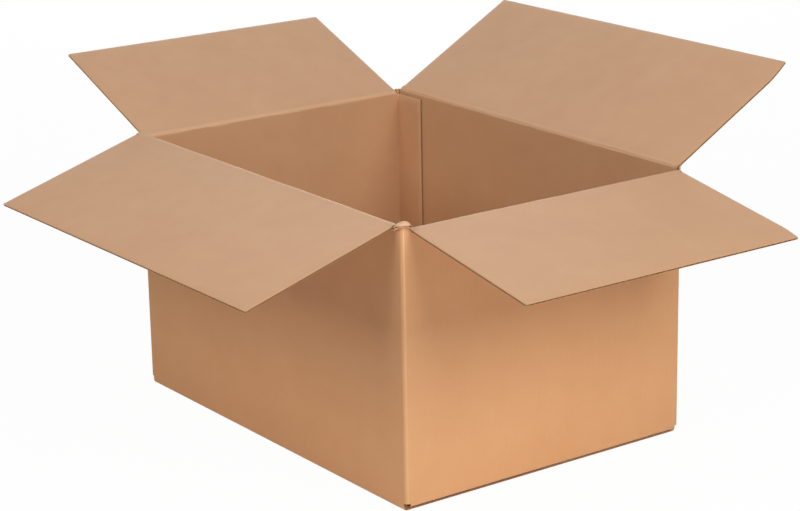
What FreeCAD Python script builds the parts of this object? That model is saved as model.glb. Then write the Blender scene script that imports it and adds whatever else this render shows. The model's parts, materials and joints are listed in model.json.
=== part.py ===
import FreeCAD, Part
import Sketcher
import os

# An open shipping box of corrugated cardboard, folded from one sheet, with its four top flaps open.
# The origin is the middle of the base on the surface it stands on. X runs along the long walls,
# Y along the short walls and Z is up. The front is -Y, the right is +X. All sizes are millimetres.

os.makedirs("parts", exist_ok=True)
doc = FreeCAD.newDocument("open_cardboard_box")
sheet = doc.addObject("Spreadsheet::Sheet", "sizes")

driving_sizes = {
    # Clear space between the folded walls, and between the closed inner flaps.
    "inside_length": 430.0,
    "inside_width": 310.0,
    "inside_height": 243.0,
    # Single wall corrugated board, and the outer radius of a fold in it.
    "board": 3.0,
    "fold_radius": 3.5,
    # Gap left between the two long flaps where they meet over the middle of the box.
    "seam_gap": 0.5,
    # Gap along a top fold, between the bevelled top of the wall and the root of its flap.
    "fold_gap": 0.3,
    # Gap between the closed inner flaps and the closed outer flaps above them.
    "closing_gap": 0.3,
    # Pressed film of glue between two layers of board.
    "glue_film": 0.3,
    # Glued joint: width of the tab, its slanted ends, and how far the wall stops short of the corner.
    "tab_width": 41.0,
    "tab_slant": 4.0,
    "tab_end_gap": 1.5,
    "joint_gap": 1.0,
    "joint_glue_margin": 5.0,
    # Slots between neighbouring flaps. The side of a flap clears the walls beside it by slot_play, and
    # the slots at the two front corners are cut off centre, given as corner to side of flap.
    "slot_play": 0.7,
    "front_slot_left": 0.5,
    "front_slot_right": 8.0,
    "right_slot_front": 8.0,
    "bottom_slot": 4.5,
    # How far the notch that the bottom slots leave under each corner reaches above the folds there.
    "notch_play": 0.5,
    # Radius of the trimmed corners at the free end of a flap.
    "tip_radius": 4.0,
    # How far each top flap is folded outwards from upright, in degrees.
    "front_open": 106.8,
    "right_open": 100.3,
    "back_open": 60.8,
    "left_open": 68.4,
    # Beads of glue between the inner and the outer bottom flaps.
    "bead_width": 12.0,
    "bead_margin": 20.0,
    "bead_near_seam": 45.0,
    "bead_near_wall": 110.0,
    # How far a cut is drawn past the board that it takes away.
    "overcut": 1.0,
}

for row, (name, value) in enumerate(driving_sizes.items(), start=1):
    sheet.set(f"A{row}", name)
    sheet.set(f"B{row}", str(value))
    sheet.setAlias(f"B{row}", name)
doc.recompute()

# Sizes and places that several pieces share, each as an expression on the sheet.
BOARD = "sizes.board"
FOLD = "sizes.fold_radius"
HALF_LENGTH = "(sizes.inside_length / 2 + sizes.board)"
HALF_WIDTH = "(sizes.inside_width / 2 + sizes.board)"
FLAP_DEPTH = f"({HALF_WIDTH} - sizes.seam_gap / 2)"
INNER_BOTTOM = "(sizes.board + sizes.glue_film)"
FLOOR = f"({INNER_BOTTOM} + sizes.board)"
INNER_FOLD = f"({FLOOR} + sizes.inside_height + sizes.board)"
OUTER_FOLD = f"({INNER_FOLD} + sizes.closing_gap + sizes.board)"
TAB_FACE = f"({HALF_WIDTH} - sizes.board - sizes.glue_film)"
TAB_END = f"(-{HALF_LENGTH} + sizes.tab_width)"
TAB_TOP = f"({INNER_FOLD} - sizes.board - sizes.tab_end_gap)"
TAB_FOOT = f"({FLOOR} + sizes.tab_end_gap)"
NOTCH = f"({INNER_BOTTOM} + {FOLD} + sizes.notch_play)"
BEYOND = "sizes.overcut"
SLOT = "(sizes.board + sizes.slot_play)"
TAB_SLOT = f"({HALF_WIDTH} - {TAB_FACE} + {FOLD} + sizes.slot_play)"

# Top flaps in order round the box. The middle of each fold is a place on the outer face of its wall,
# and a flap runs both ways from there, ending a slot short of the corners that come first and last
# going round.
top_flaps = {
    "front": {
        "fold": f"vector(0; -{HALF_WIDTH}; {OUTER_FOLD})",
        "turn": "0 deg",
        "first_run": f"{HALF_LENGTH} - sizes.front_slot_left",
        "last_run": f"{HALF_LENGTH} - sizes.front_slot_right",
    },
    "right": {
        "fold": f"vector({HALF_LENGTH}; 0; {INNER_FOLD})",
        "turn": "90 deg",
        "first_run": f"{HALF_WIDTH} - sizes.right_slot_front",
        "last_run": f"{HALF_WIDTH} - {SLOT}",
    },
    "back": {
        "fold": f"vector(0; {HALF_WIDTH}; {OUTER_FOLD})",
        "turn": "180 deg",
        "first_run": f"{HALF_LENGTH} - {SLOT}",
        "last_run": f"{HALF_LENGTH} - {SLOT}",
    },
    "left": {
        "fold": f"vector(-{HALF_LENGTH}; 0; {INNER_FOLD})",
        "turn": "270 deg",
        "first_run": f"{HALF_WIDTH} - {TAB_SLOT}",
        "last_run": f"{HALF_WIDTH} - {SLOT}",
    },
}


def new_body(name):
    """Starts the body of one piece of the box."""
    body = doc.addObject("PartDesign::Body", name)
    body.Label = name
    return body


def new_sketch(body, name, plane):
    """Attaches an empty sketch to one of the origin planes of its own body."""
    sketch = body.newObject("Sketcher::SketchObject", name)
    support = [item for item in body.Origin.OriginFeatures if item.Role == plane][0]
    sketch.AttachmentSupport = (support, [""])
    sketch.MapMode = "FlatFace"
    return sketch


def add_outline(sketch, corners):
    """Draws a closed outline whose corners are pairs of expressions, and ties each corner to them."""
    points = []
    for across, along in corners:
        points.append(FreeCAD.Vector(sketch.evalExpression(across), sketch.evalExpression(along), 0))
    first = sketch.GeometryCount
    count = len(points)
    for index in range(count):
        sketch.addGeometry(Part.LineSegment(points[index], points[(index + 1) % count]))
    for index in range(count):
        following = first + (index + 1) % count
        sketch.addConstraint(Sketcher.Constraint("Coincident", first + index, 2, following, 1))
    for index, (across, along) in enumerate(corners):
        for kind, value, expression in (
            ("DistanceX", points[index].x, across),
            ("DistanceY", points[index].y, along),
        ):
            datum = sketch.addConstraint(Sketcher.Constraint(kind, first + index, 1, value))
            sketch.setExpression(f"Constraints[{datum}]", expression)


def two_way(body, kind, name, sketch, forward, backward):
    """Runs a sketch both ways out of its plane, to add board (Pad) or to cut it (Pocket)."""
    feature = body.newObject(f"PartDesign::{kind}", name)
    feature.Profile = sketch
    feature.SideType = "Two sides"
    feature.setExpression("Length", forward)
    feature.setExpression("Length2", backward)
    doc.recompute()
    return feature


def edges_along(shape, direction, places):
    """Names the straight edges that run along a direction and whose middle lies at one of the places."""
    names = []
    for number, edge in enumerate(shape.Edges, start=1):
        if edge.Curve.TypeId != "Part::GeomLine":
            continue
        if edge.tangentAt(edge.FirstParameter).cross(direction).Length > 1e-6:
            continue
        middle = edge.CenterOfMass
        across = middle - direction * middle.dot(direction)
        if any((across - place).Length < 0.01 for place in places):
            names.append(f"Edge{number}")
    return names


def round_folds(body, name, base, direction, places, radius):
    """Rounds the folds that run along a direction through the given places."""
    fillet = body.newObject("PartDesign::Fillet", name)
    fillet.Base = (base, edges_along(base.Shape, direction, places))
    fillet.setExpression("Radius", radius)
    doc.recompute()
    return fillet


def check_cut(before, after):
    """Stops if a cut took no board away."""
    if after.Shape.Volume > before.Shape.Volume - 1:
        raise RuntimeError(f"{after.Label} cuts nothing")


# Folded sheet: four walls, the glued tab and the four closed bottom flaps, all one piece of board.
box_sheet = new_body("box_sheet")

# Plan of the walls, from the free edge of the back wall round to the free end of the tab, which is
# folded off the left wall and lies against the inside of the back wall.
wall_plan = new_sketch(box_sheet, "wall_plan", "XY_Plane")
add_outline(wall_plan, [
    (f"-{HALF_LENGTH} + sizes.joint_gap", HALF_WIDTH),
    (HALF_LENGTH, HALF_WIDTH),
    (HALF_LENGTH, f"-{HALF_WIDTH}"),
    (f"-{HALF_LENGTH}", f"-{HALF_WIDTH}"),
    (f"-{HALF_LENGTH}", TAB_FACE),
    (TAB_END, TAB_FACE),
    (TAB_END, f"{TAB_FACE} - {BOARD}"),
    (f"-{HALF_LENGTH} + {BOARD}", f"{TAB_FACE} - {BOARD}"),
    (f"-{HALF_LENGTH} + {BOARD}", f"-{HALF_WIDTH} + {BOARD}"),
    (f"{HALF_LENGTH} - {BOARD}", f"-{HALF_WIDTH} + {BOARD}"),
    (f"{HALF_LENGTH} - {BOARD}", f"{HALF_WIDTH} - {BOARD}"),
    (f"-{HALF_LENGTH} + sizes.joint_gap", f"{HALF_WIDTH} - {BOARD}"),
])
wall_plan.setExpression("AttachmentOffset.Base.z", NOTCH)
walls = box_sheet.newObject("PartDesign::Pad", "walls")
walls.Profile = wall_plan
walls.setExpression("Length", f"{INNER_FOLD} - {NOTCH}")
doc.recompute()

up = FreeCAD.Vector(0, 0, 1)
board = sheet.board
half_length = sheet.evalExpression(HALF_LENGTH)
half_width = sheet.evalExpression(HALF_WIDTH)
tab_face = sheet.evalExpression(TAB_FACE)
outer_corners = [
    FreeCAD.Vector(half_length, half_width, 0),
    FreeCAD.Vector(half_length, -half_width, 0),
    FreeCAD.Vector(-half_length, -half_width, 0),
    FreeCAD.Vector(-half_length, tab_face, 0),
]
inner_corners = [
    FreeCAD.Vector(half_length - board, half_width - board, 0),
    FreeCAD.Vector(half_length - board, -half_width + board, 0),
    FreeCAD.Vector(-half_length + board, -half_width + board, 0),
    FreeCAD.Vector(-half_length + board, tab_face - board, 0),
]
corner_folds = round_folds(box_sheet, "corner_folds", walls, up, outer_corners, FOLD)
inner_folds = round_folds(box_sheet, "inner_folds", corner_folds, up, inner_corners, f"{FOLD} - {BOARD}")

# The tab ends on a slant, clear of the bottom flaps below it and of the closed left flap above it.
tab_ends = new_sketch(box_sheet, "tab_ends", "XZ_Plane")
add_outline(tab_ends, [
    (f"-{HALF_LENGTH} + {FOLD}", TAB_TOP),
    (f"{TAB_END} + {BEYOND}", f"{TAB_TOP} - sizes.tab_slant"),
    (f"{TAB_END} + {BEYOND}", f"{INNER_FOLD} + {BEYOND}"),
    (f"-{HALF_LENGTH} + {FOLD}", f"{INNER_FOLD} + {BEYOND}"),
])
add_outline(tab_ends, [
    (f"-{HALF_LENGTH} + {FOLD}", TAB_FOOT),
    (f"{TAB_END} + {BEYOND}", f"{TAB_FOOT} + sizes.tab_slant"),
    (f"{TAB_END} + {BEYOND}", f"{NOTCH} - {BEYOND}"),
    (f"-{HALF_LENGTH} + {FOLD}", f"{NOTCH} - {BEYOND}"),
])
tab_cut = box_sheet.newObject("PartDesign::Pocket", "tab_cut")
tab_cut.Profile = tab_ends
tab_cut.setExpression("Length", f"{HALF_WIDTH} - {BOARD} - sizes.glue_film / 2")
doc.recompute()
check_cut(inner_folds, tab_cut)

# Bottom of each long wall: it folds in under the box as an outer bottom flap, level with the ground.
long_bottoms = new_sketch(box_sheet, "long_bottoms", "YZ_Plane")
for side in ("", "-"):
    add_outline(long_bottoms, [
        (f"{side}{HALF_WIDTH}", f"{NOTCH} + {BOARD}"),
        (f"{side}{HALF_WIDTH}", "0"),
        (f"{side}(sizes.seam_gap / 2)", "0"),
        (f"{side}(sizes.seam_gap / 2)", BOARD),
        (f"{side}({HALF_WIDTH} - {BOARD})", BOARD),
        (f"{side}({HALF_WIDTH} - {BOARD})", f"{NOTCH} + {BOARD}"),
    ])
long_run = f"{HALF_LENGTH} - max(sizes.bottom_slot; {FOLD})"
outer_bottoms = two_way(box_sheet, "Pad", "outer_bottoms", long_bottoms, long_run, long_run)

# Bottom of each short wall: it folds in as an inner bottom flap, on the glue above the outer ones.
short_ends = {
    "right": ("", f"max(sizes.bottom_slot; {FOLD})"),
    "left": ("-", f"max(sizes.bottom_slot; {HALF_WIDTH} - {TAB_FACE} + {FOLD})"),
}
for name, (side, back_slot) in short_ends.items():
    profile = new_sketch(box_sheet, f"{name}_bottom", "XZ_Plane")
    add_outline(profile, [
        (f"{side}{HALF_LENGTH}", f"{NOTCH} + {FLOOR}"),
        (f"{side}{HALF_LENGTH}", INNER_BOTTOM),
        (f"{side}({HALF_LENGTH} - {FLAP_DEPTH})", INNER_BOTTOM),
        (f"{side}({HALF_LENGTH} - {FLAP_DEPTH})", FLOOR),
        (f"{side}({HALF_LENGTH} - {BOARD})", FLOOR),
        (f"{side}({HALF_LENGTH} - {BOARD})", f"{NOTCH} + {FLOOR}"),
    ])
    front_run = f"{HALF_WIDTH} - max(sizes.bottom_slot; {FOLD})"
    inner_bottom = two_way(box_sheet, "Pad", f"{name}_inner_bottom", profile, front_run,
                           f"{HALF_WIDTH} - {back_slot}")

along_x = FreeCAD.Vector(1, 0, 0)
along_y = FreeCAD.Vector(0, 1, 0)
inner_bottom_level = sheet.evalExpression(INNER_BOTTOM)
floor_level = sheet.evalExpression(FLOOR)
bottom_outsides = round_folds(
    box_sheet, "long_bottom_folds", inner_bottom, along_x,
    [FreeCAD.Vector(0, half_width, 0), FreeCAD.Vector(0, -half_width, 0)], FOLD)
bottom_outsides = round_folds(
    box_sheet, "short_bottom_folds", bottom_outsides, along_y, [
        FreeCAD.Vector(half_length, 0, inner_bottom_level),
        FreeCAD.Vector(-half_length, 0, inner_bottom_level),
    ], FOLD)
bottom_insides = round_folds(
    box_sheet, "long_floor_folds", bottom_outsides, along_x,
    [FreeCAD.Vector(0, half_width - board, board), FreeCAD.Vector(0, board - half_width, board)],
    f"{FOLD} - {BOARD}")
bottom_insides = round_folds(
    box_sheet, "short_floor_folds", bottom_insides, along_y, [
        FreeCAD.Vector(half_length - board, 0, floor_level),
        FreeCAD.Vector(board - half_length, 0, floor_level),
    ], f"{FOLD} - {BOARD}")

# Top of each long wall: it stands above the short walls by one board, so that its flap can close over
# the inner flaps. The top is bevelled inwards from the fold, and leaves the corners lower.
for name, side, run_right, run_left in (
    ("front", "-", top_flaps["front"]["last_run"], top_flaps["front"]["first_run"]),
    ("back", "", top_flaps["back"]["first_run"], top_flaps["back"]["last_run"]),
):
    profile = new_sketch(box_sheet, f"{name}_top", "YZ_Plane")
    add_outline(profile, [
        (f"{side}{HALF_WIDTH}", f"{INNER_FOLD} - {BOARD}"),
        (f"{side}{HALF_WIDTH}", OUTER_FOLD),
        (f"{side}({HALF_WIDTH} - {BOARD})", f"{OUTER_FOLD} - {BOARD}"),
        (f"{side}({HALF_WIDTH} - {BOARD})", f"{INNER_FOLD} - {BOARD}"),
    ])
    two_way(box_sheet, "Pad", f"{name}_wall_top", profile,
            f"min({run_right}; {HALF_LENGTH} - {FOLD})",
            f"min({run_left}; {HALF_LENGTH} - {FOLD})")

# Top of each short wall: bevelled inwards from the fold, a little wider than its flap.
for name, side, run_back, run_front in (
    ("right", "", top_flaps["right"]["last_run"], top_flaps["right"]["first_run"]),
    ("left", "-", top_flaps["left"]["first_run"], top_flaps["left"]["last_run"]),
):
    profile = new_sketch(box_sheet, f"{name}_top", "XZ_Plane")
    add_outline(profile, [
        (f"{side}{HALF_LENGTH}", INNER_FOLD),
        (f"{side}({HALF_LENGTH} - {BOARD} - {BEYOND})", f"{INNER_FOLD} - {BOARD} - {BEYOND}"),
        (f"{side}({HALF_LENGTH} - {BOARD} - {BEYOND})", f"{INNER_FOLD} + {BEYOND}"),
        (f"{side}{HALF_LENGTH}", f"{INNER_FOLD} + {BEYOND}"),
    ])
    before = box_sheet.Tip
    bevel = two_way(box_sheet, "Pocket", f"{name}_wall_top", profile,
                    f"min({run_back} + sizes.fold_gap; {HALF_WIDTH} - {FOLD})",
                    f"min({run_front} + sizes.fold_gap; {HALF_WIDTH} - {FOLD})")
    check_cut(before, bevel)

# Top flaps, each hinged along the outer face of its wall. A flap is drawn standing upright on its
# fold, bevelled at the root, and its placement folds it outwards to where it rests.
pieces = [box_sheet]
for name, place in top_flaps.items():
    flap = new_body(f"{name}_flap")
    profile = new_sketch(flap, f"{name}_flap_section", "YZ_Plane")
    add_outline(profile, [
        ("0", "sizes.fold_gap"),
        ("0", FLAP_DEPTH),
        (BOARD, FLAP_DEPTH),
        (BOARD, f"sizes.fold_gap + {BOARD}"),
    ])
    panel = two_way(flap, "Pad", f"{name}_flap_panel", profile, place["last_run"], place["first_run"])
    depth = sheet.evalExpression(FLAP_DEPTH)
    last_tip = FreeCAD.Vector(sheet.evalExpression(place["last_run"]), 0, depth)
    first_tip = FreeCAD.Vector(-sheet.evalExpression(place["first_run"]), 0, depth)
    round_folds(flap, f"{name}_flap_tips", panel, along_y, [last_tip, first_tip], "sizes.tip_radius")
    flap.setExpression("Placement", f"placement({place['fold']}; rotation({place['turn']}; 0 deg; "
                                    f"sizes.{name}_open * 1 deg))")
    pieces.append(flap)

# Glue of the maker's joint: one pressed film between the tab and the back wall.
joint_glue = doc.addObject("Part::Box", "joint_glue")
joint_glue.Label = "joint_glue"
joint_glue.setExpression("Length", f"sizes.tab_width - {FOLD} - 2 * sizes.joint_glue_margin")
joint_glue.setExpression("Width", "sizes.glue_film")
joint_glue.setExpression("Height", f"{TAB_TOP} - {TAB_FOOT} - 2 * sizes.tab_slant"
                                   f" - 2 * sizes.joint_glue_margin")
joint_glue.setExpression("Placement.Base.x", f"-{HALF_LENGTH} + {FOLD} + sizes.joint_glue_margin")
joint_glue.setExpression("Placement.Base.y", TAB_FACE)
joint_glue.setExpression("Placement.Base.z", f"{TAB_FOOT} + sizes.tab_slant + sizes.joint_glue_margin")
pieces.append(joint_glue)

# Glue that holds the bottom shut: four beads under each inner bottom flap, two on each outer one.
beads = []
for side in ("right", "left"):
    for row, place in (("near", "sizes.bead_near_seam"), ("far", "sizes.bead_near_wall")):
        for half, sign in (("back", ""), ("front", "-")):
            bead = doc.addObject("Part::Box", f"{side}_{half}_{row}_bead")
            bead.setExpression("Length", f"{FLAP_DEPTH} - 2 * sizes.bead_margin")
            bead.setExpression("Width", "sizes.bead_width")
            bead.setExpression("Height", "sizes.glue_film")
            start = f"{HALF_LENGTH} - {FLAP_DEPTH} + sizes.bead_margin"
            if side == "left":
                start = f"-{HALF_LENGTH} + sizes.bead_margin"
            bead.setExpression("Placement.Base.x", start)
            bead.setExpression("Placement.Base.y", f"{sign}{place} - sizes.bead_width / 2")
            bead.setExpression("Placement.Base.z", BOARD)
            beads.append(bead)
bottom_glue = doc.addObject("Part::Compound", "bottom_glue")
bottom_glue.Label = "bottom_glue"
bottom_glue.Links = beads
pieces.append(bottom_glue)

doc.recompute()
for item in doc.Objects:
    if "Invalid" in item.State or "Error" in item.State:
        raise RuntimeError(f"{item.Label} did not build: {item.State}")
for piece in pieces:
    if piece.Shape.isNull() or not piece.Shape.isValid():
        raise RuntimeError(f"{piece.Label} has no sound shape")
for piece in pieces:
    piece.Shape.exportStep(f"parts/{piece.Label}.step")
    box = piece.Shape.BoundBox
    print(f"{piece.Label}: {len(piece.Shape.Solids)} solid, {piece.Shape.Volume / 1000:.2f} cm3, "
          f"x {box.XMin:.1f} to {box.XMax:.1f}, y {box.YMin:.1f} to {box.YMax:.1f}, "
          f"z {box.ZMin:.1f} to {box.ZMax:.1f}")
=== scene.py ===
import json
import math

import bmesh
import bpy
import numpy as np
from mathutils import Matrix, Vector


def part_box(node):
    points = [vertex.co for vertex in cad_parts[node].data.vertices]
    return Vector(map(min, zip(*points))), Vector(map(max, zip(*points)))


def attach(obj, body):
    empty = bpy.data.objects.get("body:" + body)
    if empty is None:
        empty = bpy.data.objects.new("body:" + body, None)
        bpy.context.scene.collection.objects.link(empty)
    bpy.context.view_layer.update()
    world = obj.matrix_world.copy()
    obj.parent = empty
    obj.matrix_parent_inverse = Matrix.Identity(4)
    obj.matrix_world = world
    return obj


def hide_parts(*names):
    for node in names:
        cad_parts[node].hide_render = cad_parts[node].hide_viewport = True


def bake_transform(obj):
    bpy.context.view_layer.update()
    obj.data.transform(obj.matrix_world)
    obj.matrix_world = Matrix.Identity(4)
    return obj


# An open shipping box of corrugated cardboard, as it stands on a table with its four top flaps folded out.
# Lengths are metres. X runs along the long walls, the front is -Y, the right is +X and Z is up.
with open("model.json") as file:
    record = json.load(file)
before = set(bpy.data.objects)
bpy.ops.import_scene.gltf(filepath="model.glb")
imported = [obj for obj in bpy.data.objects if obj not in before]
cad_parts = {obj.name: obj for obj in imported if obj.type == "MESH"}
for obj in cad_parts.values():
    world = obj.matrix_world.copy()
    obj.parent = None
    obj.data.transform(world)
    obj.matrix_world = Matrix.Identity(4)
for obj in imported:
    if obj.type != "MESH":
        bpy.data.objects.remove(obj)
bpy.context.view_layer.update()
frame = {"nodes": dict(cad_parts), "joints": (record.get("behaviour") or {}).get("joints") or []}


# Walls and glue tab. One sheet of single-wall board is creased and folded round, and the tab at its end
# is glued inside the back wall. Slots cut between the flaps leave four corners of board standing, and the
# one at the front is bent over outwards between its two flaps.
board = 0.003
liner = 0.0003
fluting = 0.00022
flute_pitch = 0.00635
fold_radius = 0.0035

sheet_low, sheet_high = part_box("box_sheet")
film_low, film_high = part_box("joint_glue")
bead_low, bead_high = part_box("bottom_glue")
half_length = sheet_high.x
half_width = sheet_high.y
folds = {joint["child"].replace("_flap", ""): joint for joint in frame["joints"]}
short_fold = folds["right"]["pos_m"][2]
long_fold = folds["front"]["pos_m"][2]

joint_gap = 0.001
tab_width = 0.041
tab_slant = 0.004
tab_crush = 0.6
tab_crush_width = 0.003
tab_face = film_low.y
tab_top = short_fold - 0.0003
tab_foot = bead_high.z + board + 0.0015
wall_foot = bead_high.z + fold_radius + 0.0005

# A hair is a gap or a step too small to see, and things nearer than a touch count as being in one place.
hair = 0.0002
touch = 1e-6


def folded_line(corners, radius):
    """A line that turns right at each corner with a fold's radius, such as board seen end on.

    Gives its length, the distances to the middles of its folds, and a function that gives the places on it
    and the inward directions there at an array of distances."""
    corners = [np.array(corner, float) for corner in corners]
    spans = []
    middles = []
    distance = 0.0
    for index in range(len(corners) - 1):
        run = corners[index + 1] - corners[index]
        heading = run / np.linalg.norm(run)
        begins = radius if index else 0.0
        ends = radius if index < len(corners) - 2 else 0.0
        spans.append((distance, corners[index] + heading * begins, heading, False))
        distance += np.linalg.norm(run) - begins - ends
        if ends:
            spans.append((distance, corners[index + 1] - heading * radius, heading, True))
            middles.append(distance + radius * math.pi / 4)
            distance += radius * math.pi / 2

    def at(distances):
        place = np.zeros((len(distances), 2))
        inward = np.zeros((len(distances), 2))
        for start, origin, heading, turns in spans:
            here = distances >= start - 1e-9
            run = (distances[here] - start)[:, None]
            right = np.array([heading[1], -heading[0]])
            if turns:
                turned = np.c_[right[0] * np.cos(run / radius) + right[1] * np.sin(run / radius),
                               right[1] * np.cos(run / radius) - right[0] * np.sin(run / radius)]
                inward[here] = turned
                place[here] = origin + right * radius - turned * radius
            else:
                inward[here] = right
                place[here] = origin + heading * run
        return place, inward

    return distance, middles, at


# Plan of the outer face, from the free edge of the back wall round to the end of the tab.
blank_length, corner_creases, wall_plan = folded_line([
    (-half_length + joint_gap, half_width),
    (half_length, half_width),
    (half_length, -half_width),
    (-half_length, -half_width),
    (-half_length, tab_face),
    (-half_length + tab_width, tab_face),
], fold_radius)
half_fold = fold_radius * math.pi / 4
tab_fold_start = corner_creases[3] - half_fold
tab_fold_end = corner_creases[3] + half_fold
corner_loss = fold_radius * (2 - math.pi / 2)
wall_middle = {
    "back": half_length - joint_gap,
    "right": 2 * half_length - joint_gap - corner_loss + half_width,
    "front": 3 * half_length - joint_gap + 2 * half_width - 2 * corner_loss,
    "left": 4 * half_length - joint_gap + 3 * half_width - 3 * corner_loss,
}


def flap_run(name):
    """Where a top flap starts and ends on its fold, as distances along the fold's axis, and its depth."""
    fold = folds[name]
    axis = np.array(fold["axis"], float)
    points = np.array([vertex.co for vertex in frame["nodes"][f"{name}_flap"].data.vertices])
    away = points - np.array(fold["pos_m"])
    along = away @ axis
    across = away - np.outer(along, axis)
    return along.min(), along.max(), math.sqrt((across ** 2).sum(axis=1).max() - board ** 2)


# Slots between the flaps, as distances round the blank. The last corner's post goes most of the way round
# the fold of the tab, thinner there, so that the closed back flap passes it.
post_turn = math.radians(75)
post_clearance = 0.0006
flap_runs = {name: flap_run(name) for name in folds}
slots = {}
for corner, before, after in (("right_back", "back", "right"), ("front_right", "right", "front"),
                              ("front_left", "front", "left")):
    slots[corner] = (wall_middle[before] - flap_runs[before][0], wall_middle[after] - flap_runs[after][1])
slots["back_left"] = (wall_middle["left"] - flap_runs["left"][0],
                      tab_fold_start + post_turn * fold_radius)
slots["free_edge"] = (0.0, wall_middle["back"] - flap_runs["back"][1])

# How high the board stands in each slot. At the front corner it is bent over outwards into a lip, whose
# crest is an arch: high beside the corner and lower, with less bend, towards the flaps.
slot_tops = {
    "right_back": long_fold + 0.0029,
    "front_right": long_fold + 0.0094,
    "front_left": short_fold,
    "back_left": long_fold + 0.0011,
    "free_edge": long_fold + 0.0011,
}
lip_foot = short_fold + hair
lip_crest = long_fold + 0.0070
lip_drop = 0.0052
lip_skew = 0.15
lip_outer_radius = 0.0012
lip_bend_middle = math.radians(135)
lip_bend_ends = math.radians(105)
lip_hang = 0.0022
lip_inset = 0.0014
lip_span = (slots["front_right"][0] + hair, slots["front_right"][1] - lip_inset)


def keep_wall(u, v):
    """Cells of the blank that belong to the standing walls and the tab, below the folded strips on top."""
    u, v = np.broadcast_arrays(u, v)
    tab = u > tab_fold_start
    kept = np.where(tab, (v > tab_foot) & (v < tab_top), v < short_fold - board)
    for name in ("front", "back"):
        start, end, depth = flap_runs[name]
        inside = (u > wall_middle[name] - end) & (u < wall_middle[name] - start)
        kept |= inside & (v < long_fold - board)
    for corner, (start, end) in slots.items():
        top = lip_foot if corner == "front_right" else slot_tops[corner]
        kept |= (u > start) & (u < end) & (v < top)
    kept |= (u > lip_span[0]) & (u < lip_span[1]) & (v < slot_tops["front_right"])
    return kept


def curl_lip(u, v, depth):
    """How far out of the wall's outer face the points of the bent lip lie, and how high."""
    start, end = lip_span
    off_middle = np.clip(np.abs((2 * u - start - end) / (end - start) + lip_skew), 0, 1) ** 2.2
    bend_most = lip_bend_middle + (lip_bend_ends - lip_bend_middle) * off_middle
    middle_radius = lip_outer_radius + board / 2
    starts = lip_crest - lip_drop * off_middle - lip_outer_radius - board
    lip_length = bend_most * middle_radius + lip_hang
    share = (v - lip_foot) / (slot_tops["front_right"] - lip_foot)
    risen = share * (starts - lip_foot + lip_length)
    beyond = np.clip(risen - (starts - lip_foot), 0, None)
    bend = np.minimum(beyond / middle_radius, bend_most)
    straight = beyond - bend * middle_radius
    out = lip_outer_radius - (lip_outer_radius + depth) * np.cos(bend) + straight * np.sin(bend)
    lifted = (lip_foot + np.minimum(risen, starts - lip_foot)
              + (lip_outer_radius + depth) * np.sin(bend) + straight * np.cos(bend))
    return out, lifted


def stand(points):
    """Folds points of the flat blank into the box. They are distance round, height and depth from the
    outer face."""
    u, v, depth = points.T
    place, inward = wall_plan(u)
    share = np.clip((u - tab_fold_end) / (blank_length - tab_fold_end), 0, 1)
    height = v + tab_slant * share * (tab_top - v) / (tab_top - tab_foot)
    from_edge = np.where(u > tab_fold_end, np.minimum(blank_length - u, np.abs(tab_top - v)), 1.0)
    depth = depth * (1 - tab_crush * np.exp(-from_edge / tab_crush_width))
    turned = np.clip((u - tab_fold_start) / fold_radius, 0, post_turn)
    post = (u > tab_fold_start + touch) & (v > tab_top + touch)
    depth = np.where(post, depth * (fold_radius - post_clearance / np.cos(turned)) / board, depth)
    curled = (v > lip_foot + touch) & (u >= lip_span[0] - touch) & (u <= lip_span[1] + touch)
    out, lifted = curl_lip(u, v, depth)
    out = np.where(curled, out, -depth)
    height = np.where(curled, lifted, height)
    return np.c_[place - inward * out[:, None], height]


# Each upright fold is pale in a thin line a little before its middle, most at the top, partly worn and
# partly a painted highlight along the crest. The lip is pale from a little below its crest to its edge,
# partly worn and partly a painted highlight.
wear_highlight_shift = 0.0012
wear_highlight_line = 0.00045
lip_wear_highlight_below = 0.0045
lip_wear_highlight_run = 0.002


def crease_of_wall(points):
    """How pale a crease makes the paper, from 0 to 1: partly wear and partly a painted highlight."""
    u, v, depth = points.T
    wear_and_highlight = np.zeros(len(u))
    for crease in corner_creases[:3]:
        line = np.exp(-((u - crease + wear_highlight_shift) / wear_highlight_line) ** 2)
        wear_and_highlight = np.maximum(wear_and_highlight, (0.25 + 0.35 * np.clip(v / short_fold, 0, 1) ** 3) * line)
    on_lip = (u >= lip_span[0]) & (u <= lip_span[1])
    lip = np.clip((v - lip_crest + lip_wear_highlight_below) / lip_wear_highlight_run, 0, 0.9) * on_lip
    return np.maximum(wear_and_highlight, lip)


def lay_paper(us, vs, keep, near, far):
    """One closed sheet of paper over the kept cells of a grid on the blank, between two depths in the
    board. Gives its points, as distance round, height and depth, and its faces."""
    columns, rows = len(us), len(vs)
    cells = np.zeros((columns + 1, rows + 1), bool)
    cells[1:-1, 1:-1] = keep((us[1:] + us[:-1])[:, None] / 2, (vs[1:] + vs[:-1])[None, :] / 2)
    number = np.arange(columns * rows).reshape(columns, rows)
    grid_u, grid_v = np.meshgrid(us, vs, indexing="ij")
    points = [np.c_[grid_u.ravel(), grid_v.ravel(), depth(grid_u).ravel()] for depth in (near, far)]
    total = columns * rows
    i, j = np.nonzero(cells[1:-1, 1:-1])
    quads = np.c_[number[i, j], number[i + 1, j], number[i + 1, j + 1], number[i, j + 1]]
    faces = [quads, quads[:, ::-1] + total]
    for step_i, step_j, first, second in ((-1, 0, (0, 1), (0, 0)), (1, 0, (1, 0), (1, 1)),
                                          (0, -1, (0, 0), (1, 0)), (0, 1, (1, 1), (0, 1))):
        rim = ~cells[i + 1 + step_i, j + 1 + step_j]
        a = number[i[rim] + first[0], j[rim] + first[1]]
        b = number[i[rim] + second[0], j[rim] + second[1]]
        faces.append(np.c_[b, a, a + total, b + total])
    points, faces = np.vstack(points), np.vstack(faces)
    used, faces = np.unique(faces, return_inverse=True)
    return points[used], faces.reshape(-1, 4)


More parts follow.
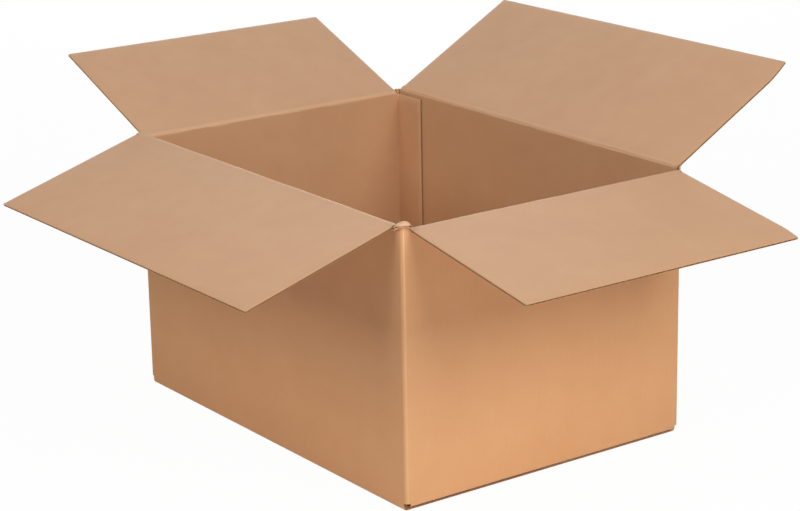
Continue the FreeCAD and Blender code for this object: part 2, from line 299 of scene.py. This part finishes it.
def flute_wave(us):
    """Depth of the middle of the fluting, which waves from liner to liner across the board."""
    swing = (board - 2 * liner - fluting) / 2 + liner / 4
    return board / 2 + swing * np.sin(us * 2 * math.pi / flute_pitch)


def corrugated(name, us, vs, keep, place, crease, papers):
    """A piece of corrugated board in one object: outer liner, fluting and inner liner."""
    waves = np.union1d(us, np.arange(us[0], us[-1], flute_pitch / 8))
    plies = (
        (us, lambda u: np.zeros_like(u), lambda u: np.full_like(u, liner)),
        (waves, lambda u: flute_wave(u) - fluting / 2, lambda u: flute_wave(u) + fluting / 2),
        (us, lambda u: np.full_like(u, board - liner), lambda u: np.full_like(u, board)),
    )
    blank, faces, paper_numbers = [], [], []
    count = 0
    for number, (columns, near, far) in enumerate(plies):
        points, quads = lay_paper(columns, vs, keep, near, far)
        blank.append(points)
        faces.append(quads + count)
        paper_numbers.append(np.full(len(quads), number))
        count += len(points)
    return paper_object(name, np.vstack(blank), np.vstack(faces).tolist(), np.concatenate(paper_numbers),
                        place, crease, papers)


def paper_object(name, blank, faces, paper_numbers, place, crease, papers):
    """Makes the mesh, keeps each point's place on the flat blank for the papers, and sets its edges."""
    mesh = bpy.data.meshes.new(name)
    mesh.from_pydata(place(blank).tolist(), [], faces)
    for paper in papers:
        mesh.materials.append(paper)
    mesh.polygons.foreach_set("material_index", paper_numbers.astype(np.int32))
    on_blank = mesh.attributes.new("blank", "FLOAT_VECTOR", "POINT")
    on_blank.data.foreach_set("vector", blank.astype(np.float32).ravel())
    # The crease attribute carries the pale marks: wear, and on the crests and the lip partly a painted
    # highlight.
    wear_and_highlight = mesh.attributes.new("crease", "FLOAT", "POINT")
    wear_and_highlight.data.foreach_set("value", crease(blank).astype(np.float32))
    shell = bmesh.new()
    shell.from_mesh(mesh)
    bmesh.ops.recalc_face_normals(shell, faces=shell.faces)
    shell.to_mesh(mesh)
    shell.free()
    mesh.polygons.foreach_set("use_smooth", [True] * len(mesh.polygons))
    mesh.set_sharp_from_angle(angle=math.radians(40))
    made = bpy.data.objects.new(name, mesh)
    bpy.context.scene.collection.objects.link(made)
    return made


class Tone:
    """A socket in a material. Sums, differences and products of these add Math nodes."""

    def __init__(self, tree, socket):
        self.tree = tree
        self.socket = socket

    def node(self, kind, settings, inputs, output=0):
        """Any other node: its type, its settings, and then the values or links of its sockets."""
        made = self.tree.nodes.new(f"ShaderNode{kind}")
        for name, value in settings.items():
            if name == "stops":
                for stop, (position, level) in zip(made.color_ramp.elements, value):
                    stop.position = position
                    stop.color = (level, level, level, 1)
            else:
                setattr(made, name, value)
        for name, value in inputs.items():
            if isinstance(value, Tone):
                self.tree.links.new(value.socket, made.inputs[name])
            else:
                made.inputs[name].default_value = value
        return Tone(self.tree, made.outputs[output]) if made.outputs else None

    def maths(self, operation, first, second=0.0):
        return self.node("Math", {"operation": operation}, {0: first, 1: second})

    def __add__(self, other):
        return self.maths("ADD", self, other)

    __radd__ = __add__

    def __sub__(self, other):
        return self.maths("SUBTRACT", self, other)

    def __rsub__(self, other):
        return self.maths("SUBTRACT", other, self)

    def __mul__(self, other):
        return self.maths("MULTIPLY", self, other)

    __rmul__ = __mul__

    def sine(self):
        return self.maths("SINE", self)

    def mixed(self, low, high):
        """Between two colours, by this value."""
        return self.node("Mix", {"data_type": "RGBA"}, {0: self, 6: low, 7: high}, 2)

    def scaled(self, amount):
        """A colour or a vector times a number."""
        return self.node("VectorMath", {"operation": "SCALE"}, {0: self, "Scale": amount})

    def stretched(self, amounts):
        """A vector times a vector."""
        return self.node("VectorMath", {"operation": "MULTIPLY"}, {0: self, 1: amounts})

    def noise(self, scale, detail=2.0, roughness=0.5):
        """Noise over this vector, from 0 to 1 about a middle of 0.5."""
        return self.node("TexNoise", {}, {"Vector": self, "Scale": scale, "Detail": detail,
                                          "Roughness": roughness})


def new_material(name):
    """An empty material and a way into its node tree."""
    material = bpy.data.materials.new(name)
    material.use_nodes = True
    material.node_tree.nodes.clear()
    return material, Tone(material.node_tree, None)


def finish_surface(entry, inputs):
    """Ends a material in one Principled surface."""
    surface = entry.node("BsdfPrincipled", {}, inputs, "BSDF")
    entry.node("OutputMaterial", {}, {"Surface": surface})


def kraft_paper(name, warm, cool, wear_highlight_colour, washboard, roughness, shine):
    """Brown kraft paper: cloudy tone, fibres that run round the box, specks, the flutes showing through,
    and a pale colour at creases that is partly wear and partly a painted highlight."""
    material, entry = new_material(name)
    blank = entry.node("Attribute", {"attribute_name": "blank"}, {}, "Vector")
    crease = entry.node("Attribute", {"attribute_name": "crease"}, {}, "Fac")
    clouds = blank.noise(11.0, 3.0)
    blotches = blank.noise(38.0, 2.0)
    fibres = blank.stretched((350.0, 1500.0, 700.0)).noise(1.0, 4.0, 0.65)
    grain = blank.noise(2600.0, 2.0)
    across_flutes = blank.node("SeparateXYZ", {}, {"Vector": blank}, "X")
    flutes = (across_flutes * (2 * math.pi / flute_pitch)).sine()
    uneven = blank.stretched((60.0, 9.0, 1.0)).noise(1.0, 2.0)
    specks = blank.stretched((420.0, 900.0, 500.0)).noise(1.0, 1.0)
    dark_specks = specks.node("ValToRGB", {"stops": ((0.70, 0.0), (0.78, 1.0))}, {"Fac": specks})
    hue = (clouds * 0.6 + blotches * 0.9 - 0.25).mixed(warm, cool)
    level = (0.93 + (clouds - 0.5) * 0.12 + (blotches - 0.5) * 0.09 + (fibres - 0.5) * 0.16
             + (grain - 0.5) * 0.06 + flutes * uneven * washboard + 0.07 - dark_specks * 0.13)
    tone = hue.scaled(level)
    # Pale colour at creases and on the lip: partly wear and partly a painted highlight.
    colour = (crease * (0.45 + blotches * 0.35 + fibres * 0.35)).mixed(tone, wear_highlight_colour)
    height = flutes * uneven * (washboard * 3.0) + fibres * 0.10 + grain * 0.04 + clouds * 0.6
    bump = height.node("Bump", {}, {"Strength": 0.35, "Distance": 0.0004, "Height": height})
    finish_surface(entry, {"Base Color": colour, "Roughness": roughness + (fibres - 0.5) * 0.10,
                           "Normal": bump, "Specular IOR Level": shine})
    return material


def raw_fluting(name, colour, torn_and_highlight_colour):
    """Recycled brown paper of the fluting and of cut edges, rough, darker than the liners, and pale where
    the crease mark is high: torn paper, and partly a painted highlight on the lip and the creases."""
    material, entry = new_material(name)
    blank = entry.node("Attribute", {"attribute_name": "blank"}, {}, "Vector")
    fuzz = blank.stretched((900.0, 900.0, 2600.0)).noise(1.0, 3.0, 0.6)
    patches = blank.noise(120.0, 2.0)
    level = 0.86 + (fuzz - 0.5) * 0.35 + (patches - 0.5) * 0.15
    darker = tuple(0.6 * part for part in colour[:3]) + (1.0,)
    torn_and_highlight = entry.node("Attribute", {"attribute_name": "crease"}, {}, "Fac")
    # Pale where the crease mark is high: torn paper, and on the lip partly a painted highlight.
    tone = (torn_and_highlight * (0.75 + (patches - 0.5) * 0.8)).mixed(level.mixed(darker, colour), torn_and_highlight_colour)
    bump = fuzz.node("Bump", {}, {"Strength": 0.5, "Distance": 0.0003, "Height": fuzz})
    finish_surface(entry, {"Base Color": tone, "Roughness": 0.9, "Normal": bump,
                           "Specular IOR Level": 0.15})
    return material


# The third colour of each liner, and the last of the fluting, is its pale colour at creases: partly wear and
# tearing, and partly a painted highlight on the crests and the lip.
outer_paper = kraft_paper("outer_liner", (0.59, 0.290, 0.122, 1), (0.56, 0.295, 0.137, 1),
                          (0.86, 0.56, 0.33, 1), 0.008, 0.66, 0.5)
inner_paper = kraft_paper("inner_liner", (0.60, 0.315, 0.155, 1), (0.57, 0.325, 0.165, 1),
                          (0.74, 0.46, 0.27, 1), 0.006, 0.56, 0.7)
core_paper = raw_fluting("fluting", (0.42, 0.25, 0.135, 1), (0.80, 0.52, 0.32, 1))
papers = (outer_paper, core_paper, inner_paper)

# Columns and rows of the blank. They lie close together where the board bends, is crushed, or is paled by
# wear and a painted highlight.
crush_run = 0.02
crush_drop = 0.012
crush_step = 0.0005
edges = [0.0, blank_length, tab_fold_start, tab_fold_end, tab_fold_end + crush_step]
edges += [edge for slot in slots.values() for edge in slot]
edges += [wall_middle[name] - end for name in ("front", "back") for end in flap_runs[name][:2]]
fold_columns = np.linspace(-half_fold, half_fold, 9)
wear_highlight_columns = np.linspace(-0.0015, 0.0015, 7) - wear_highlight_shift
wall_columns = [np.linspace(0, blank_length, 80), edges, np.linspace(*lip_span, 17)]
wall_columns += [np.linspace(blank_length - crush_run, blank_length, 33)]
for crease in corner_creases:
    wall_columns += [crease + fold_columns, crease + wear_highlight_columns]
wall_columns = np.unique(np.concatenate(wall_columns).round(6))
wall_rows = np.unique(np.concatenate([
    np.linspace(wall_foot, short_fold - board, 14),
    [tab_foot, long_fold - board, short_fold],
    np.linspace(tab_top - crush_drop, tab_top, 13),
    [tab_top + hair],
    list(slot_tops.values()),
    np.linspace(lip_foot, slot_tops["front_right"], 17),
]).round(6))
walls = corrugated("walls", wall_columns, wall_rows, keep_wall, stand, crease_of_wall, papers)
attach(walls, "box")
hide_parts("box_sheet")


# Four bottom flaps. Each wall's board turns in under the box over a crease: the flaps of the short walls
# lie inside, and those of the long walls lie on the ground below them and meet along the middle.
bottom_slot = 0.0045
seam_gap = 0.0005
bottom_depth = half_width - seam_gap / 2
bottom_worn_line = 0.0012
up = np.array([0.0, 0.0, 1.0])


def side_frame(name):
    """A wall's own directions, along it and outwards, and the foot of the middle of its outer face."""
    fold = folds[name]
    along = np.array(fold["axis"], float)
    outward = np.cross(along, up)
    foot = np.array([fold["pos_m"][0], fold["pos_m"][1], 0.0])
    return along, outward, foot


def whole(u, v):
    """Keeps every cell of a grid on the blank."""
    return np.broadcast_arrays(u, v)[0] > -1


def bottom_flap(name, underside):
    """One bottom flap with its crease, from the foot of the wall to the free edge."""
    along, outward, foot = side_frame(name)
    half_run = (half_length if name in ("front", "back") else half_width) - bottom_slot
    drop, creases, section = folded_line([(0, wall_foot), (0, underside), (-bottom_depth, underside)],
                                         fold_radius)

    def place(points):
        u, v, depth = points.T
        outline, inward = section(wall_foot - v)
        spot = outline + inward * depth[:, None]
        run = wall_middle[name] - u
        return foot + np.outer(run, along) + np.outer(spot[:, 0], outward) + np.outer(spot[:, 1], up)

    def crease(points):
        return 0.6 * np.exp(-((wall_foot - points[:, 1] - creases[0]) / bottom_worn_line) ** 2)

    us = np.linspace(wall_middle[name] - half_run, wall_middle[name] + half_run, 30)
    drops = np.unique(np.concatenate([[0.0], creases[0] + fold_columns, np.linspace(0.01, drop, 10)]))
    vs = wall_foot - drops
    piece = corrugated(f"bottom_{name}", us, vs[::-1], whole, place, crease, papers)
    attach(piece, "box")


for name in ("front", "back"):
    bottom_flap(name, 0.0)
for name in ("left", "right"):
    bottom_flap(name, bead_high.z)


# Top flaps. Each is the same board as its wall, turned outwards over the crease along the top. Handling has
# crushed its three cut edges thinner, and pushed in the two corners farthest to the right: each of these has
# the end of the fold that it is nearest, how far it moved and how far in the bend reaches.
tip_radius = 0.0012
root_gap = hair
edge_crush = 0.45
edge_crush_width = 0.0022
edge_steps = np.array([0.0, 0.0003, 0.0007, tip_radius, 0.002, 0.0035, 0.006, 0.01])
edge_zone = edge_steps[-1]
pushed_corners = {"back": ("start", 0.0048, 0.030), "right": ("end", 0.0030, 0.022)}
pushed_pinch = 0.5


def flap_frame(name):
    """A flap at rest: its angle from upright, and its directions away from the fold and out of its inner
    face."""
    along, outward, foot = side_frame(name)
    opened = math.radians(-folds[name]["range_deg"][0] - 90)
    outwards = outward * math.sin(opened) + up * math.cos(opened)
    facing = -outward * math.cos(opened) + up * math.sin(opened)
    return opened, outwards, facing


def top_flap(name):
    """The stiff part of a flap. It starts a hair beyond its bent board, clear of its wall when closed."""
    along, outward, foot = side_frame(name)
    opened, outwards, facing = flap_frame(name)
    hinge = np.array(folds[name]["pos_m"])
    start, end, depth = flap_runs[name]
    middle = wall_middle[name]

    def open_out(points):
        u, v, inner = points.T
        run = middle - u
        from_end = np.minimum(run - start, end - run)
        short = np.clip(tip_radius - from_end, 0, tip_radius)
        cut = tip_radius - np.sqrt(np.clip(tip_radius ** 2 - short ** 2, 0, None))
        reach = v - hinge[2]
        to_tip = depth - reach
        pinch = edge_crush * np.exp(-np.minimum(from_end, to_tip) / edge_crush_width)
        if name in pushed_corners:
            side, push, area = pushed_corners[name]
            to_side = run - start if side == "start" else end - run
            near = np.clip(1 - to_side / area, 0, 1) ** 1.5 * np.clip(1 - to_tip / area, 0, 1) ** 1.5
            run = run + near * push * (1 if side == "start" else -1)
            pinch = pinch + (pushed_pinch - pinch) * near
        inner = board / 2 + (inner - board / 2) * (1 - pinch)
        rounded = board + (reach - board) * (depth - cut - board) / (depth - board)
        reach = np.where(reach > board, rounded, reach)
        return hinge + np.outer(run, along) + np.outer(reach, outwards) + np.outer(inner, facing)

    us = np.concatenate([middle - end + edge_steps, middle - start - edge_steps,
                         np.linspace(middle - end + edge_zone, middle - start - edge_zone, 60)])
    reaches = np.concatenate([np.linspace(board + root_gap, 4 * board, 4), depth - edge_steps,
                              np.linspace(2 * edge_zone, depth - edge_zone, 22)])
    flap = corrugated(f"{name}_flap_board", np.unique(us.round(6)), hinge[2] + np.unique(reaches.round(6)),
                      whole, open_out, lambda points: np.zeros(len(points)), papers)
    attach(flap, f"{name}_flap")
    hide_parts(f"{name}_flap")


# Bent board between each wall and its top flap. The crease wheel has crushed it, so its inner paper has sunk
# unevenly, and both papers are pale at the crest, partly worn and partly a painted highlight.
strip_reach = board + 2 * root_gap
inner_wear_highlight_line = 0.0022
inner_wear_highlight = 0.55
outer_wear_highlight = (0.0, 0.1, 0.5, 0.1, 0.0)
bend_share = 0.16


def fold_strip(name):
    """The bent board of one fold, which joins the wall to the flap."""
    along, outward, foot = side_frame(name)
    opened, outwards, facing = flap_frame(name)
    hinge = np.array(folds[name]["pos_m"])
    start, end, depth = flap_runs[name]
    direction = np.array([-math.sin(opened), math.cos(opened)])
    face = np.array([math.cos(opened), math.sin(opened)])
    bends = np.linspace(0, opened, 17)

    def crushed(run):
        """How far the crease has sunk the inner paper at a distance along the fold."""
        return 0.0004 + 0.0003 * math.sin(run * 61) * math.sin(run * 23 + 1)

    def inner_line(sunk):
        """The inner face seen end on, from wall to flap, as distances inwards and up from the hinge."""
        bent = [board - sunk * math.sin(math.pi * (angle / opened) ** 0.6) for angle in bends]
        line = [(board, -board), (board, -board / 2)]
        line += [(out * math.cos(angle), out * math.sin(angle)) for out, angle in zip(bent, bends)]
        return line + [tuple(face * board + direction * reach) for reach in (board / 2, strip_reach)]

    outer_line = [tuple(direction * strip_reach), tuple(direction * board / 2), (0.0, 0.0),
                  (0.0, -board / 2), (0.0, -board)]
    inside = inner_line(0.0)
    count = len(inside) + len(outer_line)
    lengths = np.cumsum([0.0] + [math.dist(*ends) for ends in zip(inside, inside[1:])])
    on_blank = np.concatenate([hinge[2] - board + lengths * 2 * board / lengths[-1],
                               hinge[2] + np.array([1, 0.5, 0, -0.5, -1]) * board])
    depths = [board] * len(inside) + [0.0] * len(outer_line)
    # Pale band along the crest: partly wear and partly a painted highlight.
    wear_and_highlight = np.concatenate([np.exp(-((lengths - lengths[-1] / 2) / inner_wear_highlight_line) ** 2) * inner_wear_highlight,
                           outer_wear_highlight])
    stations = np.linspace(start, end, 60)
    corners = []
    blank = []
    for run in stations:
        section = inner_line(crushed(run)) + outer_line
        for (across, height), v, inner in zip(section, on_blank, depths):
            corners.append(hinge + along * run - outward * across + up * height)
            blank.append((wall_middle[name] - run, v, inner))
    faces = []
    last = (len(stations) - 1) * count
    for first in range(0, last, count):
        for k in range(count):
            following = (k + 1) % count
            faces.append((first + k, first + following, first + count + following, first + count + k))
    faces += [tuple(range(count)), tuple(range(last, last + count))]
    ring = [2] * (len(inside) - 1) + [1] + [0] * (len(outer_line) - 1) + [1]
    paper_numbers = np.array(ring * (len(stations) - 1) + [1, 1])
    corners = np.array(corners)
    crease = np.tile(wear_and_highlight, len(stations))
    strip = paper_object(f"{name}_fold", np.array(blank), faces, paper_numbers, lambda points: corners,
                         lambda points: crease, papers)
    wall_end = hinge - outward * board - up * board
    flap_end = hinge + facing * board + outwards * board
    turn_middle = (wall_end + flap_end) / 2
    turn_reach = (flap_end - wall_end) * bend_share
    turn_middle - turn_reach
    turn_middle + turn_reach
    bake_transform(strip)


for name in folds:
    top_flap(name)
    fold_strip(name)


# Dried glue: the pressed film of the side joint and the beads between the bottom flaps. It is cold glue,
# yellowish and dull, and shows only as a thin line at the edge of the tab and in the seams below.
glue, entry = new_material("dried_glue")
spot = entry.node("TexCoord", {}, {}, "Object")
ripple = spot.noise(180.0, 3.0)
skin = spot.noise(900.0, 2.0)
tint = ripple.mixed((0.66, 0.55, 0.36, 1), (0.78, 0.70, 0.52, 1))
bump = skin.node("Bump", {}, {"Strength": 0.4, "Distance": 0.0003, "Height": skin + ripple})
finish_surface(entry, {"Base Color": tint, "Roughness": 0.45 + ripple * 0.2, "Normal": bump})
for name in ("joint_glue", "bottom_glue"):
    node = frame["nodes"][name]
    node.data.materials.clear()
    node.data.materials.append(glue)


# Table and light. A pale floor under a white surround. The main soft box stands to the right, weaker ones
# fill the front and the back, and a small one low in front lights the feet of the walls.
floor_mesh = bpy.data.meshes.new("floor")
reach = 12.0
floor_mesh.from_pydata([(-reach, -reach, 0), (reach, -reach, 0), (reach, reach, 0), (-reach, reach, 0)],
                       [], [(0, 1, 2, 3)])
floor = bpy.data.objects.new("floor", floor_mesh)
bpy.context.scene.collection.objects.link(floor)
floor_paint, entry = new_material("floor_paint")
seen = entry.node("LightPath", {}, {}, "Is Camera Ray")
matt = entry.node("BsdfDiffuse", {}, {"Color": (0.86, 0.86, 0.86, 1)})
shine = entry.node("Emission", {}, {"Color": (1, 1, 1, 1), "Strength": 1.0})
shown = seen.node("MixShader", {}, {0: seen * 0.97, 1: matt, 2: shine})
entry.node("OutputMaterial", {}, {"Surface": shown})
floor_mesh.materials.append(floor_paint)

world = bpy.data.worlds.new("surround")
bpy.context.scene.world = world
world.use_nodes = True
world.node_tree.nodes.clear()
entry = Tone(world.node_tree, None)
plain = entry.node("LightPath", {}, {}, "Is Camera Ray")
glossy = entry.node("LightPath", {}, {}, "Is Glossy Ray")
white = plain.maths("MAXIMUM", plain, glossy)
around = entry.node("Background", {}, {"Color": (1, 1, 1, 1), "Strength": 0.10})
backdrop = entry.node("Background", {}, {"Color": (1, 1, 1, 1), "Strength": 1.0})
sky = white.node("MixShader", {}, {0: white, 1: around, 2: backdrop})
entry.node("OutputWorld", {}, {"Surface": sky})


box_middle = Vector((0.0, 0.0, sheet_high.z / 2))


def soft_lamp(name, size, power, bearing, height, distance):
    """A soft box that faces the middle of the box. Two angles, about Z from +X and above the level, and a
    distance give its place from there."""
    bearing, height = math.radians(bearing), math.radians(height)
    spot = box_middle + distance * Vector((math.cos(bearing) * math.cos(height),
                                           math.sin(bearing) * math.cos(height), math.sin(height)))
    data = bpy.data.lights.new(name, "AREA")
    data.shape = "RECTANGLE"
    data.size, data.size_y = size
    data.energy = power
    lamp = bpy.data.objects.new(name, data)
    lamp.visible_camera = False
    lamp.location = spot
    lamp.rotation_euler = (box_middle - spot).to_track_quat("-Z", "Y").to_euler()
    bpy.context.scene.collection.objects.link(lamp)


soft_lamp("key_lamp", (1.4, 1.1), 44.0, 3, 32, 2.6)
soft_lamp("front_fill", (1.2, 1.2), 28.0, -88, 30, 2.6)
soft_lamp("back_fill", (1.6, 1.2), 6.0, 150, 45, 2.6)
soft_lamp("back_low", (1.2, 1.2), 24.0, 145, 9, 2.6)
soft_lamp("low_fill", (0.3, 0.2), 1.3, -18, -6, 0.85)

# The camera that the photograph was taken with: a long lens, a little above the box and nearly level.
picture_width = 800
focal_length_px = 2379.1
camera_height, camera_bearing, camera_roll = (math.radians(angle) for angle in (16.570, 54.287, -1.057))
camera_offset = Vector((-0.00554, 0.14639, 2.3205))
back = Vector((math.sin(camera_bearing) * math.cos(camera_height),
               -math.cos(camera_bearing) * math.cos(camera_height), math.sin(camera_height)))
level = Vector((math.cos(camera_bearing), math.sin(camera_bearing), 0))
upright = back.cross(level)
right = level * math.cos(camera_roll) + upright * math.sin(camera_roll)
top = upright * math.cos(camera_roll) - level * math.sin(camera_roll)
camera_data = bpy.data.cameras.new("camera")
camera_data.sensor_width = 36.0
camera_data.lens = focal_length_px / picture_width * camera_data.sensor_width
camera_data.clip_start = 0.05
camera_data.clip_end = 60.0
camera = bpy.data.objects.new("camera", camera_data)
bpy.context.scene.collection.objects.link(camera)
turned = Matrix((right, top, back)).transposed()
camera.matrix_world = Matrix.Translation(turned @ camera_offset) @ turned.to_4x4()
bpy.context.scene.camera = camera
bpy.context.scene.view_settings.view_transform = "Standard"
